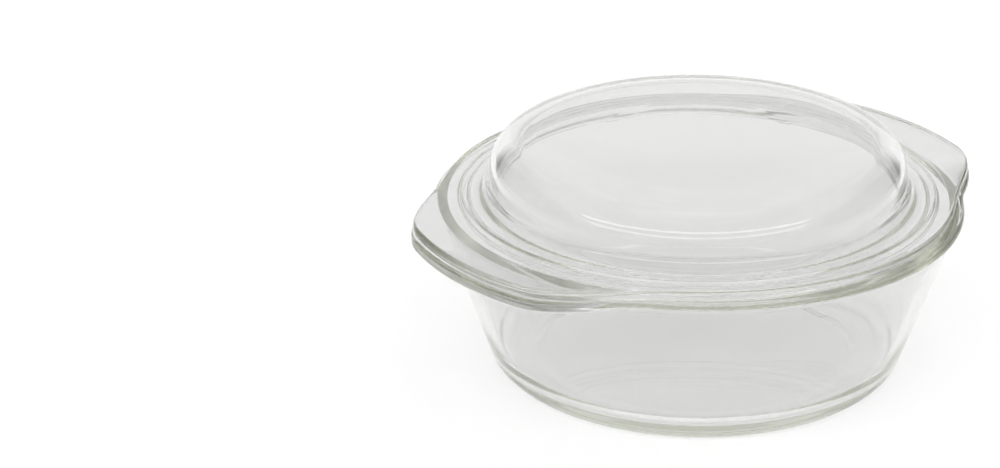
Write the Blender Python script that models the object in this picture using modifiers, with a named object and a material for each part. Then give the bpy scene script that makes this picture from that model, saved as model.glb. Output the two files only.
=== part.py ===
"""Covered round casserole in clear pressed glass: a dish, and a lid that lifts off.

Frame: +Z up, origin on the centre of the foot, the ears reach out along +X and -X.
Lengths are in metres. Each piece is one turned glass body, and its rim is pulled out
into two wide ears, the way both are moulded in one pressing.
"""

import math

import bpy

MM = 0.001
SLACK = 0.05 * MM
MERGE_DISTANCE = 0.1 * MM

# Roundness of the turned bodies: steps of a turn, and steps of a rounding by its size
TURN_STEPS = 96
SMALL_ROUNDING = 1.2 * MM
MEDIUM_ROUNDING = 4.0 * MM

# Clearance between the resting lid and the dish
GAP = 0.3 * MM

# Rounding of the outer edges of both pieces
EDGE_ROUND = 1.5 * MM

# Dish: heights
RIM_TOP = 64.4 * MM
RIM_BAND = 3.2 * MM
FLOOR_THICKNESS = 5.5 * MM
FOOT_RECESS = 0.5 * MM

# Dish: radii of the turned body
RIM_RADIUS = 100.0 * MM
MOUTH_RADIUS = 94.4 * MM
BASE_RADIUS = 77.3 * MM
FLOOR_RADIUS = 72.8 * MM
WALL_FLARE = 0.338
FOOT_RECESS_RADIUS = 58.0 * MM
FOOT_RING_RADIUS = 62.0 * MM
LIP_ROUND = 1.0 * MM
BASE_CORNER = 9.2 * MM
FLOOR_CORNER = 12.0 * MM

# Dish: ears
DISH_EAR_RADIUS = 112.5 * MM
DISH_EAR_SIDE = 96.2 * MM
DISH_EAR_THICKNESS = 4.8 * MM

# Lid: heights above the foot of the dish
FLANGE_BOTTOM = RIM_TOP + GAP
FLANGE_THICKNESS = 3.6 * MM
FLANGE_TOP = FLANGE_BOTTOM + FLANGE_THICKNESS
STEP_HEIGHT = 0.8 * MM
PLATEAU = 87.6 * MM
CROWN = 0.7 * MM
CROWN_HALFWAY = 0.7 * CROWN
RING_DEPTH = 3.0 * MM
LID_THICKNESS = 3.9 * MM

# Lid: radii
FLANGE_RADIUS = 96.4 * MM
STEP_RADIUS = 89.4 * MM
DOME_FOOT_RADIUS = 79.8 * MM
DOME_TOP_RADIUS = 76.4 * MM
DOME_CORNER = 10.0 * MM
DOME_FOOT_FILLET = 6.0 * MM
INNER_DOME_CORNER = 8.6 * MM
INNER_FOOT_ROUND = 4.0 * MM
RING_OUTER_RADIUS = 90.2 * MM
RING_INNER_RADIUS = 86.6 * MM
RING_DRAFT = 0.6 * MM
RING_ROUND = 0.8 * MM

# Lid: ears
LID_EAR_RADIUS = 111.8 * MM
LID_EAR_SIDE = 95.4 * MM

# Ears of both pieces: the straight side of an ear faces this way from the handle axis
EAR_SIDE_ANGLE = math.radians(53.5)
EAR_CORNER_BLEND = 8.5 * MM
EAR_ROOT_BLEND = 2.0 * MM

GLASS_COLOUR = (0.93, 0.95, 0.93, 1.0)
GLASS_ROUGHNESS = 0.03


def clear_scene():
    for item in list(bpy.data.objects):
        bpy.data.objects.remove(item, do_unlink=True)


def glass(name):
    """Clear glass, one material for each piece."""
    material = bpy.data.materials.new(name)
    material.use_nodes = True
    shader = material.node_tree.nodes["Principled BSDF"]
    shader.inputs["Base Color"].default_value = GLASS_COLOUR
    shader.inputs["Roughness"].default_value = GLASS_ROUGHNESS
    shader.inputs["Metallic"].default_value = 0.0
    shader.inputs["Transmission Weight"].default_value = 1.0
    return material


def rounded_profile(corners):
    """Points along (radius, height, rounding) corners, each rounding made an arc."""
    points = []
    for index, (radius, height, rounding) in enumerate(corners):
        if rounding == 0.0:
            points.append((radius, height))
            continue
        before = corners[index - 1]
        after = corners[index + 1]
        points.extend(corner_arc((radius, height), before, after, rounding))
    return points


def corner_arc(corner, before, after, rounding):
    """An arc that touches both sides of a corner."""
    back = unit(before[0] - corner[0], before[1] - corner[1])
    ahead = unit(after[0] - corner[0], after[1] - corner[1])
    half = 0.5 * math.acos(back[0] * ahead[0] + back[1] * ahead[1])
    reach = rounding / math.tan(half)
    middle = unit(back[0] + ahead[0], back[1] + ahead[1])
    centre = [corner[k] + middle[k] * rounding / math.sin(half) for k in range(2)]
    start = [corner[k] + back[k] * reach - centre[k] for k in range(2)]
    end = [corner[k] + ahead[k] * reach - centre[k] for k in range(2)]
    first = math.atan2(start[1], start[0])
    turn = math.atan2(end[1], end[0]) - first
    turn = (turn + math.pi) % (2.0 * math.pi) - math.pi
    points = []
    steps = arc_steps(rounding)
    for step in range(steps + 1):
        angle = first + turn * step / steps
        points.append((centre[0] + rounding * math.cos(angle), centre[1] + rounding * math.sin(angle)))
    return points


def arc_steps(rounding):
    """Straight steps along a rounding: a chamfer when small, an arc when large."""
    if rounding < SMALL_ROUNDING:
        return 1
    if rounding < MEDIUM_ROUNDING:
        return 2
    return 3


def unit(x, y):
    length = math.hypot(x, y)
    return (x / length, y / length)


def turned_mesh(name, profile):
    """A closed body turned about Z from a profile that starts and ends on the axis."""
    line = bpy.data.meshes.new(name + "_profile")
    vertices = [(radius, 0.0, height) for radius, height in profile]
    edges = [(index, index + 1) for index in range(len(vertices) - 1)]
    line.from_pydata(vertices, edges, [])
    lathe = bpy.data.objects.new(name + "_lathe", line)
    bpy.context.scene.collection.objects.link(lathe)
    screw = lathe.modifiers.new("Turn", "SCREW")
    screw.axis = "Z"
    screw.steps = TURN_STEPS
    screw.render_steps = TURN_STEPS
    screw.use_merge_vertices = True
    screw.merge_threshold = MERGE_DISTANCE
    evaluated = lathe.evaluated_get(bpy.context.evaluated_depsgraph_get())
    mesh = bpy.data.meshes.new_from_object(evaluated)
    mesh.name = name
    bpy.data.objects.remove(lathe, do_unlink=True)
    bpy.data.meshes.remove(line)
    return mesh


def soft_min(first, second, blend):
    """The smaller value, rounded off where the two are closer than the blend."""
    overlap = max(blend - abs(first - second), 0.0)
    return min(first, second) - overlap * overlap / (4.0 * blend)


def soft_max(first, second, blend):
    return -soft_min(-first, -second, blend)


def ear_outline(angle, rim_radius, ear_radius, ear_side):
    """Radius of the rim at an angle: a circle with an ear to +X and one to -X.

    An ear's outer edge is an arc about the dish's axis, and its two sides are straight.
    """
    from_handle = abs(math.remainder(angle, math.pi))
    side = ear_side / math.cos(from_handle - EAR_SIDE_ANGLE)
    ear = soft_min(ear_radius, side, EAR_CORNER_BLEND)
    if from_handle > EAR_SIDE_ANGLE:
        return rim_radius
    return soft_max(rim_radius, ear, EAR_ROOT_BLEND)


def pull_ears(mesh, rim_radius, ear_radius, ear_side, band, extra_depth):
    """Pull the rim's rounded edge, between the band's two heights, out to the ears' outline.

    The underside also moves down by extra_depth where the ear is full.
    """
    low, high = band
    middle = 0.5 * (low + high)
    edge_start = rim_radius - EDGE_ROUND - SLACK
    for vertex in mesh.vertices:
        x, y, z = vertex.co
        radius = math.hypot(x, y)
        if radius < edge_start - EDGE_ROUND or not low - SLACK <= z <= high + SLACK:
            continue
        outline = ear_outline(math.atan2(y, x), rim_radius, ear_radius, ear_side)
        if radius >= edge_start:
            grown = 1.0 + (outline - rim_radius) / radius
            vertex.co.x = x * grown
            vertex.co.y = y * grown
        if z < middle:
            fullness = (outline - rim_radius) / (ear_radius - rim_radius)
            vertex.co.z = z - extra_depth * fullness


def add_piece(name, mesh, collection):
    item = bpy.data.objects.new(name, mesh)
    collection.objects.link(item)
    mesh.materials.clear()
    mesh.materials.append(glass(name + "_glass"))
    mesh.shade_smooth()
    mesh.set_sharp_from_angle(angle=math.radians(40.0))
    return item


def dish_profile():
    """From the middle of the inner floor, up the inside, over the rim, down to the foot."""
    rim_bottom = RIM_TOP - RIM_BAND
    under_rim = BASE_RADIUS + WALL_FLARE * rim_bottom
    return rounded_profile([
        (0.0, FLOOR_THICKNESS, 0.0),
        (FLOOR_RADIUS + WALL_FLARE * FLOOR_THICKNESS, FLOOR_THICKNESS, FLOOR_CORNER),
        (MOUTH_RADIUS, RIM_TOP, LIP_ROUND),
        (RIM_RADIUS, RIM_TOP, EDGE_ROUND),
        (RIM_RADIUS, rim_bottom, EDGE_ROUND),
        (under_rim, rim_bottom, 0.0),
        (BASE_RADIUS, 0.0, BASE_CORNER),
        (FOOT_RING_RADIUS, 0.0, 0.0),
        (FOOT_RECESS_RADIUS, FOOT_RECESS, 0.0),
        (0.0, FOOT_RECESS, 0.0),
    ])


def lid_profile():
    """From the middle of the top, down the outside, round the flange, up the inside."""
    step_top = FLANGE_TOP + STEP_HEIGHT
    inner_foot = DOME_FOOT_RADIUS - LID_THICKNESS
    inner_top = DOME_TOP_RADIUS - LID_THICKNESS
    ring_bottom = FLANGE_BOTTOM - RING_DEPTH
    ceiling = PLATEAU - LID_THICKNESS
    return rounded_profile([
        (0.0, PLATEAU + CROWN, 0.0),
        (0.5 * DOME_TOP_RADIUS, PLATEAU + CROWN_HALFWAY, 0.0),
        (DOME_TOP_RADIUS, PLATEAU, DOME_CORNER),
        (DOME_FOOT_RADIUS, step_top, DOME_FOOT_FILLET),
        (STEP_RADIUS - STEP_HEIGHT, step_top, 0.0),
        (STEP_RADIUS, FLANGE_TOP, 0.0),
        (FLANGE_RADIUS, FLANGE_TOP, EDGE_ROUND),
        (FLANGE_RADIUS, FLANGE_BOTTOM, EDGE_ROUND),
        (RING_OUTER_RADIUS, FLANGE_BOTTOM, 0.0),
        (RING_OUTER_RADIUS - RING_DRAFT, ring_bottom, RING_ROUND),
        (RING_INNER_RADIUS, ring_bottom, RING_ROUND),
        (RING_INNER_RADIUS - RING_DRAFT, FLANGE_BOTTOM, 0.0),
        (inner_foot, FLANGE_BOTTOM, INNER_FOOT_ROUND),
        (inner_top, ceiling, INNER_DOME_CORNER),
        (0.5 * inner_top, ceiling + CROWN_HALFWAY, 0.0),
        (0.0, ceiling + CROWN, 0.0),
    ])


def build_dish(collection):
    mesh = turned_mesh("dish", dish_profile())
    band = (RIM_TOP - RIM_BAND, RIM_TOP)
    extra = DISH_EAR_THICKNESS - RIM_BAND
    pull_ears(mesh, RIM_RADIUS, DISH_EAR_RADIUS, DISH_EAR_SIDE, band, extra)
    add_piece("dish", mesh, collection)


def build_lid(collection):
    mesh = turned_mesh("lid", lid_profile())
    band = (FLANGE_BOTTOM, FLANGE_TOP)
    pull_ears(mesh, FLANGE_RADIUS, LID_EAR_RADIUS, LID_EAR_SIDE, band, 0.0)
    add_piece("lid", mesh, collection)


def main():
    clear_scene()
    collection = bpy.data.collections.new("covered_casserole")
    bpy.context.scene.collection.children.link(collection)
    build_dish(collection)
    build_lid(collection)


main()
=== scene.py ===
"""Looks of the covered glass casserole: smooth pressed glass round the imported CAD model.

Lengths are in metres, in the CAD model's frame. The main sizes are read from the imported
nodes' boxes, and the small ones are the pressing's own roundings and steps.
"""

import math

import bpy
from mathutils import Matrix, Vector


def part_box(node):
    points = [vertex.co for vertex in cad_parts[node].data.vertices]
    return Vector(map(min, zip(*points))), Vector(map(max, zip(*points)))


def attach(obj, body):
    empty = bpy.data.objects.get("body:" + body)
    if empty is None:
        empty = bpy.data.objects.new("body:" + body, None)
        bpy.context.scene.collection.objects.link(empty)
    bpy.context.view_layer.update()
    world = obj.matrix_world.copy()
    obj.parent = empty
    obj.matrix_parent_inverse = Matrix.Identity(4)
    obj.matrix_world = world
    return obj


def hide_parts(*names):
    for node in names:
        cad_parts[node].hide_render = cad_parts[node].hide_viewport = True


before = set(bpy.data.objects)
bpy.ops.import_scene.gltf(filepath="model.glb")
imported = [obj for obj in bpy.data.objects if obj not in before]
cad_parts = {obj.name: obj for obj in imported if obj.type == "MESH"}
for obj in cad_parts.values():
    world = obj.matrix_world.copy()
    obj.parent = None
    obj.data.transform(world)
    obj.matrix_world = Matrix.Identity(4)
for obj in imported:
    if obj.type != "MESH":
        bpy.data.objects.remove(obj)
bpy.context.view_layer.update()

MM = 0.001

# Fineness of the turned bodies: steps of a turn, of a rounding, and of a straight stretch
TURN_STEPS = 360
ARC_STEPS = 8
LINE_STEPS = 6

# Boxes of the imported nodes
DISH_LOW, DISH_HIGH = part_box("dish")
LID_LOW, LID_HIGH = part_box("lid")

# Dish
RIM_TOP = DISH_HIGH[2]
RIM_RADIUS = DISH_HIGH[1]
DISH_EAR_RADIUS = DISH_HIGH[0]
RIM_BAND = 3.2 * MM
DISH_EAR_THICKNESS = 4.8 * MM
DISH_EAR_SIDE = 96.2 * MM
MOUTH_RADIUS = 94.4 * MM
BASE_RADIUS = 77.3 * MM
FLOOR_RADIUS = 72.8 * MM
WALL_FLARE = 0.338
FLOOR_THICKNESS = 5.5 * MM
FOOT_RECESS = 0.5 * MM
FOOT_RECESS_RADIUS = 58.0 * MM
FOOT_RING_RADIUS = FOOT_RECESS_RADIUS + 4.0 * MM
FOOT_RING_ROUND = 2.0 * MM
BASE_CORNER = 9.2 * MM
FLOOR_CORNER = 12.0 * MM

# Lid
LID_TOP = LID_HIGH[2]
FLANGE_RADIUS = LID_HIGH[1]
LID_EAR_RADIUS = LID_HIGH[0]
RING_BOTTOM = LID_LOW[2]
RING_DEPTH = 3.0 * MM
FLANGE_BOTTOM = RING_BOTTOM + RING_DEPTH
FLANGE_THICKNESS = 3.6 * MM
FLANGE_TOP = FLANGE_BOTTOM + FLANGE_THICKNESS
STEP_HEIGHT = 0.8 * MM
STEP_ROUND = 0.4 * MM
CROWN = 0.7 * MM
CROWN_HALFWAY = 0.7 * CROWN
CROWN_ROUND = 60.0 * MM
PLATEAU = LID_TOP - CROWN
LID_THICKNESS = 3.9 * MM
STEP_RADIUS = 89.4 * MM
DOME_FOOT_RADIUS = 79.8 * MM
DOME_TOP_RADIUS = 76.4 * MM
DOME_CORNER = 10.0 * MM
DOME_FOOT_FILLET = 6.0 * MM
INNER_DOME_CORNER = 8.6 * MM
INNER_FOOT_ROUND = 4.0 * MM
RING_OUTER_RADIUS = 90.2 * MM
RING_INNER_RADIUS = 86.6 * MM
RING_DRAFT = 0.6 * MM
RING_ROUND = 0.8 * MM
RING_ROOT_ROUND = 0.5 * MM
LID_EAR_SIDE = 95.4 * MM

# Ears of both pieces
EAR_SIDE_ANGLE = math.radians(53.5)
EAR_CORNER_BLEND = 8.5 * MM
EAR_ROOT_BLEND = 2.0 * MM
EDGE_ROUND = 1.5 * MM
LIP_ROUND = 1.0 * MM
UNDER_RIM_FILLET = 0.8 * MM

# How far outside the wall and the ring the ears begin to stretch the rim
DISH_STRETCH_MARGIN = 0.2 * MM
LID_STRETCH_MARGIN = 0.6 * MM

# Pressed glass
GLASS_IOR = 1.474
SURFACE_TINT = (0.88, 0.88, 0.88, 1.0)
DEPTH_TINT = (0.81, 0.82, 0.76, 1.0)
DEPTH_DENSITY = 11.0
SWELL_SCALE = 28.0
SWELL_STRENGTH = 0.04
SWELL_HEIGHT = 0.0012
FILM_SCALE = 60.0
FILM_DETAIL = 4.0
FILM_ROUGHNESS = 0.012

# Table
TABLE_RADIUS = 8.0
TABLE_STEPS = 96
TABLE_GAP = 0.05 * MM
TABLE_WHITE = (0.92, 0.92, 0.92, 1.0)
TABLE_ROUGHNESS = 0.9
TABLE_SHEEN = 0.1
TABLE_GLOW = 0.16

# Camera: its place and directions are in a frame turned by the azimuth about Z
CAMERA_AZIMUTH = math.radians(-40.5)
CAMERA_PLACE = (-0.00006, -0.92167, 0.44976)
CAMERA_AHEAD = (-0.07415, 0.91389, -0.39914)
CAMERA_RIGHT = (0.99709, 0.07502, -0.01346)
SENSOR_WIDTH = 36.0
LENS_PER_SENSOR = 2.634

# Studio: brightness of each zone, then the start and end of its soft edges. Sides, towards and
# height are parts of a direction of length 1, so they run from 0 to 1
ROOM_LIGHT = 0.93
FLAG_DEPTH = 0.80
FLAG_SIDES = (0.45, 0.60)
FLAG_TOP = (0.52, 0.68)
DIM_DEPTH = 0.8
DIM_TOWARDS = (0.45, 0.75)
DIM_TOP = (0.34, 0.42)
DIMMEST_LIGHT = 0.32
FRONT_BOX_LIGHT = 4.5
FRONT_BOX_TOWARDS = (0.1, 0.3)
FRONT_BOX_HEIGHT = (0.49, 0.60)
FRONT_BOX_SOFTNESS = 0.006
FRONT_BOX_SIDES = (0.76, 0.80)
GLASS_BOUNCES = 96
DIFFUSE_BOUNCES = 4


def unit(x, y):
    length = math.hypot(x, y)
    return (x / length, y / length)


def corner_arc(corner, before, after, rounding):
    """An arc that touches both sides of a corner."""
    back = unit(before[0] - corner[0], before[1] - corner[1])
    ahead = unit(after[0] - corner[0], after[1] - corner[1])
    half = 0.5 * math.acos(back[0] * ahead[0] + back[1] * ahead[1])
    reach = rounding / math.tan(half)
    middle = unit(back[0] + ahead[0], back[1] + ahead[1])
    centre = [corner[k] + middle[k] * rounding / math.sin(half) for k in range(2)]
    start = [corner[k] + back[k] * reach - centre[k] for k in range(2)]
    end = [corner[k] + ahead[k] * reach - centre[k] for k in range(2)]
    first = math.atan2(start[1], start[0])
    turn = math.atan2(end[1], end[0]) - first
    turn = (turn + math.pi) % (2.0 * math.pi) - math.pi
    points = []
    for step in range(ARC_STEPS + 1):
        angle = first + turn * step / ARC_STEPS
        points.append((centre[0] + rounding * math.cos(angle), centre[1] + rounding * math.sin(angle)))
    return points


def smooth_profile(corners):
    """Dense points along (radius, height, rounding) corners, the same count whatever the radii."""
    outline = []
    for index, (radius, height, rounding) in enumerate(corners):
        if rounding == 0.0:
            outline.append([(radius, height)])
        else:
            outline.append(corner_arc((radius, height), corners[index - 1], corners[index + 1], rounding))
    points = list(outline[0])
    for stretch in outline[1:]:
        start, end = points[-1], stretch[0]
        for step in range(1, LINE_STEPS):
            share = step / LINE_STEPS
            points.append(tuple(start[k] + (end[k] - start[k]) * share for k in range(2)))
        points.extend(stretch)
    return points


def soft_min(first, second, blend):
    overlap = max(blend - abs(first - second), 0.0)
    return min(first, second) - overlap * overlap / (4.0 * blend)


def soft_max(first, second, blend):
    return -soft_min(-first, -second, blend)


def ear_outline(angle, rim_radius, ear_radius, ear_side):
    """Radius of the rim at an angle: a circle with an ear to +X and one to -X."""
    from_handle = abs(math.remainder(angle, math.pi))
    if from_handle > EAR_SIDE_ANGLE:
        return rim_radius
    side = ear_side / math.cos(from_handle - EAR_SIDE_ANGLE)
    ear = soft_min(ear_radius, side, EAR_CORNER_BLEND)
    return soft_max(rim_radius, ear, EAR_ROOT_BLEND)


def outline_at(angle, rim_radius, ear_radius, ear_side):
    """The outline's radius, how far its ear is out (0 to 1), and its slant's stretch."""
    nearby = 0.001
    radius = ear_outline(angle, rim_radius, ear_radius, ear_side)
    ahead = ear_outline(angle + nearby, rim_radius, ear_radius, ear_side)
    behind = ear_outline(angle - nearby, rim_radius, ear_radius, ear_side)
    slope = (ahead - behind) / (2.0 * nearby * radius)
    fullness = (radius - rim_radius) / (ear_radius - rim_radius)
    return radius, fullness, math.sqrt(1.0 + slope * slope)


def shift_edge(profile, anchor, rim_radius, radius, stretch):
    """Move the profile's edge from the round rim's radius out to the outline's."""
    edge_start = rim_radius - EDGE_ROUND
    new_start = radius - EDGE_ROUND * stretch
    moved = []
    for r, z in profile:
        if r > edge_start:
            r = radius - (rim_radius - r) * stretch
        elif r > anchor:
            r = anchor + (r - anchor) * (new_start - anchor) / (edge_start - anchor)
        moved.append((r, z))
    return moved


def turned_piece(name, profile_at):
    """A closed body about Z from a profile for each angle, whose ends are on the axis."""
    profiles = [profile_at(2.0 * math.pi * step / TURN_STEPS) for step in range(TURN_STEPS)]
    count = len(profiles[0]) - 2
    vertices = []
    for step, profile in enumerate(profiles):
        angle = 2.0 * math.pi * step / TURN_STEPS
        cosine, sine = math.cos(angle), math.sin(angle)
        vertices.extend((radius * cosine, radius * sine, height) for radius, height in profile[1:-1])
    start_pole = len(vertices)
    end_pole = start_pole + 1
    vertices.append((0.0, 0.0, profiles[0][0][1]))
    vertices.append((0.0, 0.0, profiles[0][-1][1]))
    faces = []
    for step in range(TURN_STEPS):
        here = step * count
        after = (step + 1) % TURN_STEPS * count
        faces.append((start_pole, here, after))
        faces.append((end_pole, after + count - 1, here + count - 1))
        for row in range(count - 1):
            faces.append((here + row, here + row + 1, after + row + 1, after + row))
    mesh = bpy.data.meshes.new(name)
    mesh.from_pydata(vertices, [], faces)
    mesh.update()
    piece = bpy.data.objects.new(name, mesh)
    bpy.context.scene.collection.objects.link(piece)
    return piece


def dish_profile(angle):
    radius, fullness, stretch = outline_at(angle, RIM_RADIUS, DISH_EAR_RADIUS, DISH_EAR_SIDE)
    band = RIM_BAND + (DISH_EAR_THICKNESS - RIM_BAND) * fullness
    rim_bottom = RIM_TOP - band
    under_rim = BASE_RADIUS + WALL_FLARE * rim_bottom
    whole = smooth_profile([
        (0.0, FLOOR_THICKNESS, 0.0),
        (FLOOR_RADIUS + WALL_FLARE * FLOOR_THICKNESS, FLOOR_THICKNESS, FLOOR_CORNER),
        (MOUTH_RADIUS, RIM_TOP, LIP_ROUND),
        (RIM_RADIUS, RIM_TOP, EDGE_ROUND),
        (RIM_RADIUS, rim_bottom, EDGE_ROUND),
        (under_rim, rim_bottom, UNDER_RIM_FILLET),
        (BASE_RADIUS, 0.0, BASE_CORNER),
        (FOOT_RING_RADIUS, 0.0, FOOT_RING_ROUND),
        (FOOT_RECESS_RADIUS, FOOT_RECESS, FOOT_RING_ROUND),
        (0.0, FOOT_RECESS, 0.0),
    ])
    return shift_edge(whole, under_rim + DISH_STRETCH_MARGIN, RIM_RADIUS, radius, stretch)


def lid_profile(angle):
    radius, _, stretch = outline_at(angle, FLANGE_RADIUS, LID_EAR_RADIUS, LID_EAR_SIDE)
    step_top = FLANGE_TOP + STEP_HEIGHT
    inner_foot = DOME_FOOT_RADIUS - LID_THICKNESS
    inner_top = DOME_TOP_RADIUS - LID_THICKNESS
    ceiling = PLATEAU - LID_THICKNESS
    whole = smooth_profile([
        (0.0, PLATEAU + CROWN, 0.0),
        (0.5 * DOME_TOP_RADIUS, PLATEAU + CROWN_HALFWAY, CROWN_ROUND),
        (DOME_TOP_RADIUS, PLATEAU, DOME_CORNER),
        (DOME_FOOT_RADIUS, step_top, DOME_FOOT_FILLET),
        (STEP_RADIUS - STEP_HEIGHT, step_top, STEP_ROUND),
        (STEP_RADIUS, FLANGE_TOP, STEP_ROUND),
        (FLANGE_RADIUS, FLANGE_TOP, EDGE_ROUND),
        (FLANGE_RADIUS, FLANGE_BOTTOM, EDGE_ROUND),
        (RING_OUTER_RADIUS, FLANGE_BOTTOM, RING_ROOT_ROUND),
        (RING_OUTER_RADIUS - RING_DRAFT, RING_BOTTOM, RING_ROUND),
        (RING_INNER_RADIUS, RING_BOTTOM, RING_ROUND),
        (RING_INNER_RADIUS - RING_DRAFT, FLANGE_BOTTOM, RING_ROUND),
        (inner_foot, FLANGE_BOTTOM, INNER_FOOT_ROUND),
        (inner_top, ceiling, INNER_DOME_CORNER),
        (0.5 * inner_top, ceiling + CROWN_HALFWAY, CROWN_ROUND),
        (0.0, ceiling + CROWN, 0.0),
    ])
    return shift_edge(whole, RING_OUTER_RADIUS + LID_STRETCH_MARGIN, FLANGE_RADIUS, radius, stretch)


def pressed_glass(name):
    """Clear pressed glass: a polished, faintly wavy surface, and a faint yellow-green in depth."""
    material = bpy.data.materials.new(name)
    material.use_nodes = True
    nodes = material.node_tree.nodes
    links = material.node_tree.links
    shader = nodes["Principled BSDF"]
    output = nodes["Material Output"]
    shader.inputs["Base Color"].default_value = SURFACE_TINT
    shader.inputs["Metallic"].default_value = 0.0
    shader.inputs["IOR"].default_value = GLASS_IOR
    shader.inputs["Transmission Weight"].default_value = 1.0
    place = nodes.new("ShaderNodeTexCoord")
    swell = nodes.new("ShaderNodeTexNoise")
    swell.inputs["Scale"].default_value = SWELL_SCALE
    swell.inputs["Detail"].default_value = 1.0
    links.new(place.outputs["Object"], swell.inputs["Vector"])
    bump = nodes.new("ShaderNodeBump")
    bump.inputs["Strength"].default_value = SWELL_STRENGTH
    bump.inputs["Distance"].default_value = SWELL_HEIGHT
    links.new(swell.outputs["Fac"], bump.inputs["Height"])
    links.new(bump.outputs["Normal"], shader.inputs["Normal"])
    film = nodes.new("ShaderNodeTexNoise")
    film.inputs["Scale"].default_value = FILM_SCALE
    film.inputs["Detail"].default_value = FILM_DETAIL
    links.new(place.outputs["Object"], film.inputs["Vector"])
    spread = nodes.new("ShaderNodeMapRange")
    spread.inputs["To Min"].default_value = 0.0
    spread.inputs["To Max"].default_value = FILM_ROUGHNESS
    links.new(film.outputs["Fac"], spread.inputs["Value"])
    links.new(spread.outputs["Result"], shader.inputs["Roughness"])
    depth = nodes.new("ShaderNodeVolumeAbsorption")
    depth.inputs["Color"].default_value = DEPTH_TINT
    depth.inputs["Density"].default_value = DEPTH_DENSITY
    links.new(depth.outputs["Volume"], output.inputs["Volume"])
    return material


def finish_piece(piece, node, material):
    piece.data.materials.append(material)
    piece.data.shade_smooth()
    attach(piece, node)
    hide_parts(node)


def build_dish():
    piece = turned_piece("dish_glass_body", dish_profile)
    finish_piece(piece, "dish", pressed_glass("dish_glass"))


def build_lid():
    piece = turned_piece("lid_glass_body", lid_profile)
    finish_piece(piece, "lid", pressed_glass("lid_glass"))


def build_stage():
    """A plain pale floor, lit faintly from below like a light table."""
    bpy.ops.mesh.primitive_circle_add(vertices=TABLE_STEPS, radius=TABLE_RADIUS, fill_type="NGON")
    floor = bpy.context.object
    floor.name = "floor"
    floor.location.z = -TABLE_GAP
    material = bpy.data.materials.new("floor_white")
    material.use_nodes = True
    shader = material.node_tree.nodes["Principled BSDF"]
    shader.inputs["Base Color"].default_value = TABLE_WHITE
    shader.inputs["Roughness"].default_value = TABLE_ROUGHNESS
    shader.inputs["Specular IOR Level"].default_value = TABLE_SHEEN
    shader.inputs["Emission Color"].default_value = (1.0, 1.0, 1.0, 1.0)
    shader.inputs["Emission Strength"].default_value = TABLE_GLOW
    floor.data.materials.append(material)


class Sky:
    """Brightness of the studio by direction, put together from soft-edged zones."""

    def __init__(self, tree):
        self.nodes = tree.nodes
        self.links = tree.links

    def put(self, value, socket):
        if isinstance(value, float):
            socket.default_value = value
        else:
            self.links.new(value, socket)

    def maths(self, operation, first, second=0.0):
        node = self.nodes.new("ShaderNodeMath")
        node.operation = operation
        self.put(first, node.inputs[0])
        self.put(second, node.inputs[1])
        return node.outputs["Value"]

    def rise(self, value, low, high):
        """0 below low, 1 above high, smooth between them."""
        node = self.nodes.new("ShaderNodeMapRange")
        node.interpolation_type = "SMOOTHSTEP"
        self.put(value, node.inputs["Value"])
        node.inputs["From Min"].default_value = low
        node.inputs["From Max"].default_value = high
        return node.outputs["Result"]

    def fall(self, value, low, high):
        return self.maths("SUBTRACT", 1.0, self.rise(value, low, high))

    def band(self, value, low, high, soft):
        return self.maths("MULTIPLY", self.rise(value, low - soft, low + soft),
                          self.fall(value, high - soft, high + soft))


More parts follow.
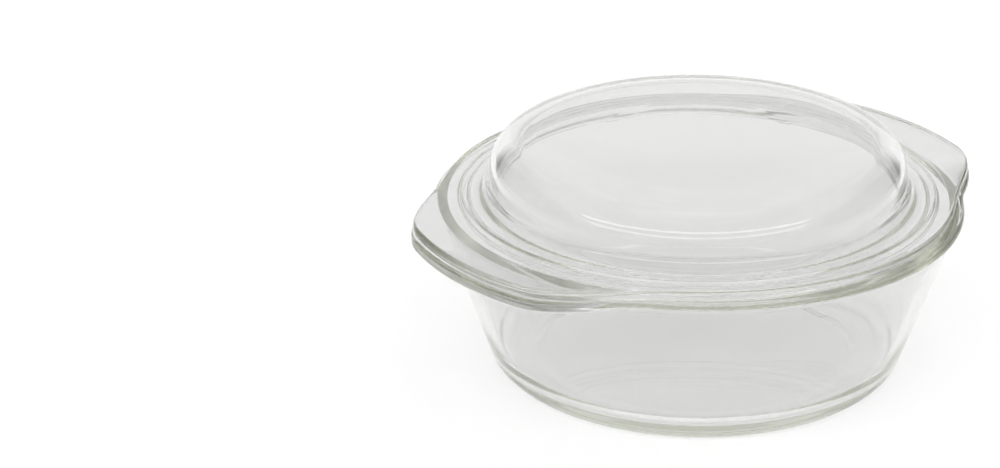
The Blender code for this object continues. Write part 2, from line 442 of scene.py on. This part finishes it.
def build_world():
    """The studio round the table.

    A bright sweep behind the dish, dim flags at both sides that darken its edges, a dim space
    behind the camera, and a long softbox over the camera. "Across" and "away" are directions
    turned with the camera's azimuth, and "up" is the sine of the height above the horizon.
    """
    world = bpy.data.worlds.new("studio")
    bpy.context.scene.world = world
    world.use_nodes = True
    tree = world.node_tree
    sky = Sky(tree)
    place = tree.nodes.new("ShaderNodeTexCoord")
    turn = tree.nodes.new("ShaderNodeVectorRotate")
    turn.rotation_type = "Z_AXIS"
    turn.inputs["Angle"].default_value = -CAMERA_AZIMUTH
    tree.links.new(place.outputs["Generated"], turn.inputs["Vector"])
    split = tree.nodes.new("ShaderNodeSeparateXYZ")
    tree.links.new(turn.outputs["Vector"], split.inputs["Vector"])
    across, away, up = split.outputs["X"], split.outputs["Y"], split.outputs["Z"]

    sideways = sky.maths("ABSOLUTE", across)
    towards = sky.maths("MULTIPLY", away, -1.0)
    flags = sky.maths("MULTIPLY", sky.rise(sideways, *FLAG_SIDES), sky.fall(up, *FLAG_TOP))
    behind_camera = sky.maths("MULTIPLY", sky.rise(towards, *DIM_TOWARDS), sky.fall(up, *DIM_TOP))
    front_box = sky.maths("MULTIPLY", sky.rise(towards, *FRONT_BOX_TOWARDS),
                          sky.band(up, *FRONT_BOX_HEIGHT, FRONT_BOX_SOFTNESS))
    front_box = sky.maths("MULTIPLY", front_box, sky.fall(sideways, *FRONT_BOX_SIDES))

    light = sky.maths("SUBTRACT", ROOM_LIGHT, sky.maths("MULTIPLY", flags, ROOM_LIGHT * FLAG_DEPTH))
    light = sky.maths("SUBTRACT", light, sky.maths("MULTIPLY", behind_camera, ROOM_LIGHT * DIM_DEPTH))
    light = sky.maths("MAXIMUM", light, DIMMEST_LIGHT)
    light = sky.maths("ADD", light, sky.maths("MULTIPLY", front_box, FRONT_BOX_LIGHT))
    background = tree.nodes["Background"]
    tree.links.new(light, background.inputs["Strength"])
    background.inputs["Color"].default_value = (1.0, 1.0, 1.0, 1.0)


def build_camera():
    """The photograph's view: a long lens, from the front left, looking down."""
    data = bpy.data.cameras.new("camera")
    data.sensor_fit = "HORIZONTAL"
    data.sensor_width = SENSOR_WIDTH
    data.lens = LENS_PER_SENSOR * SENSOR_WIDTH
    data.clip_start = 0.05
    data.clip_end = 50.0
    camera = bpy.data.objects.new("camera", data)
    bpy.context.scene.collection.objects.link(camera)
    turn = Matrix.Rotation(CAMERA_AZIMUTH, 3, "Z")
    place = turn @ Vector(CAMERA_PLACE)
    ahead = turn @ Vector(CAMERA_AHEAD).normalized()
    right = turn @ Vector(CAMERA_RIGHT).normalized()
    up = right.cross(ahead)
    axes = Matrix((right, up, -ahead)).transposed()
    camera.matrix_world = Matrix.Translation(place) @ axes.to_4x4()
    bpy.context.scene.camera = camera


def set_render_looks():
    scene = bpy.context.scene
    scene.view_settings.view_transform = "Standard"
    scene.cycles.max_bounces = GLASS_BOUNCES
    scene.cycles.transmission_bounces = GLASS_BOUNCES
    scene.cycles.glossy_bounces = GLASS_BOUNCES
    scene.cycles.diffuse_bounces = DIFFUSE_BOUNCES
    scene.cycles.use_denoising = True
    scene.cycles.blur_glossy = 0.0


build_dish()
build_lid()
build_stage()
build_world()
build_camera()
set_render_looks()
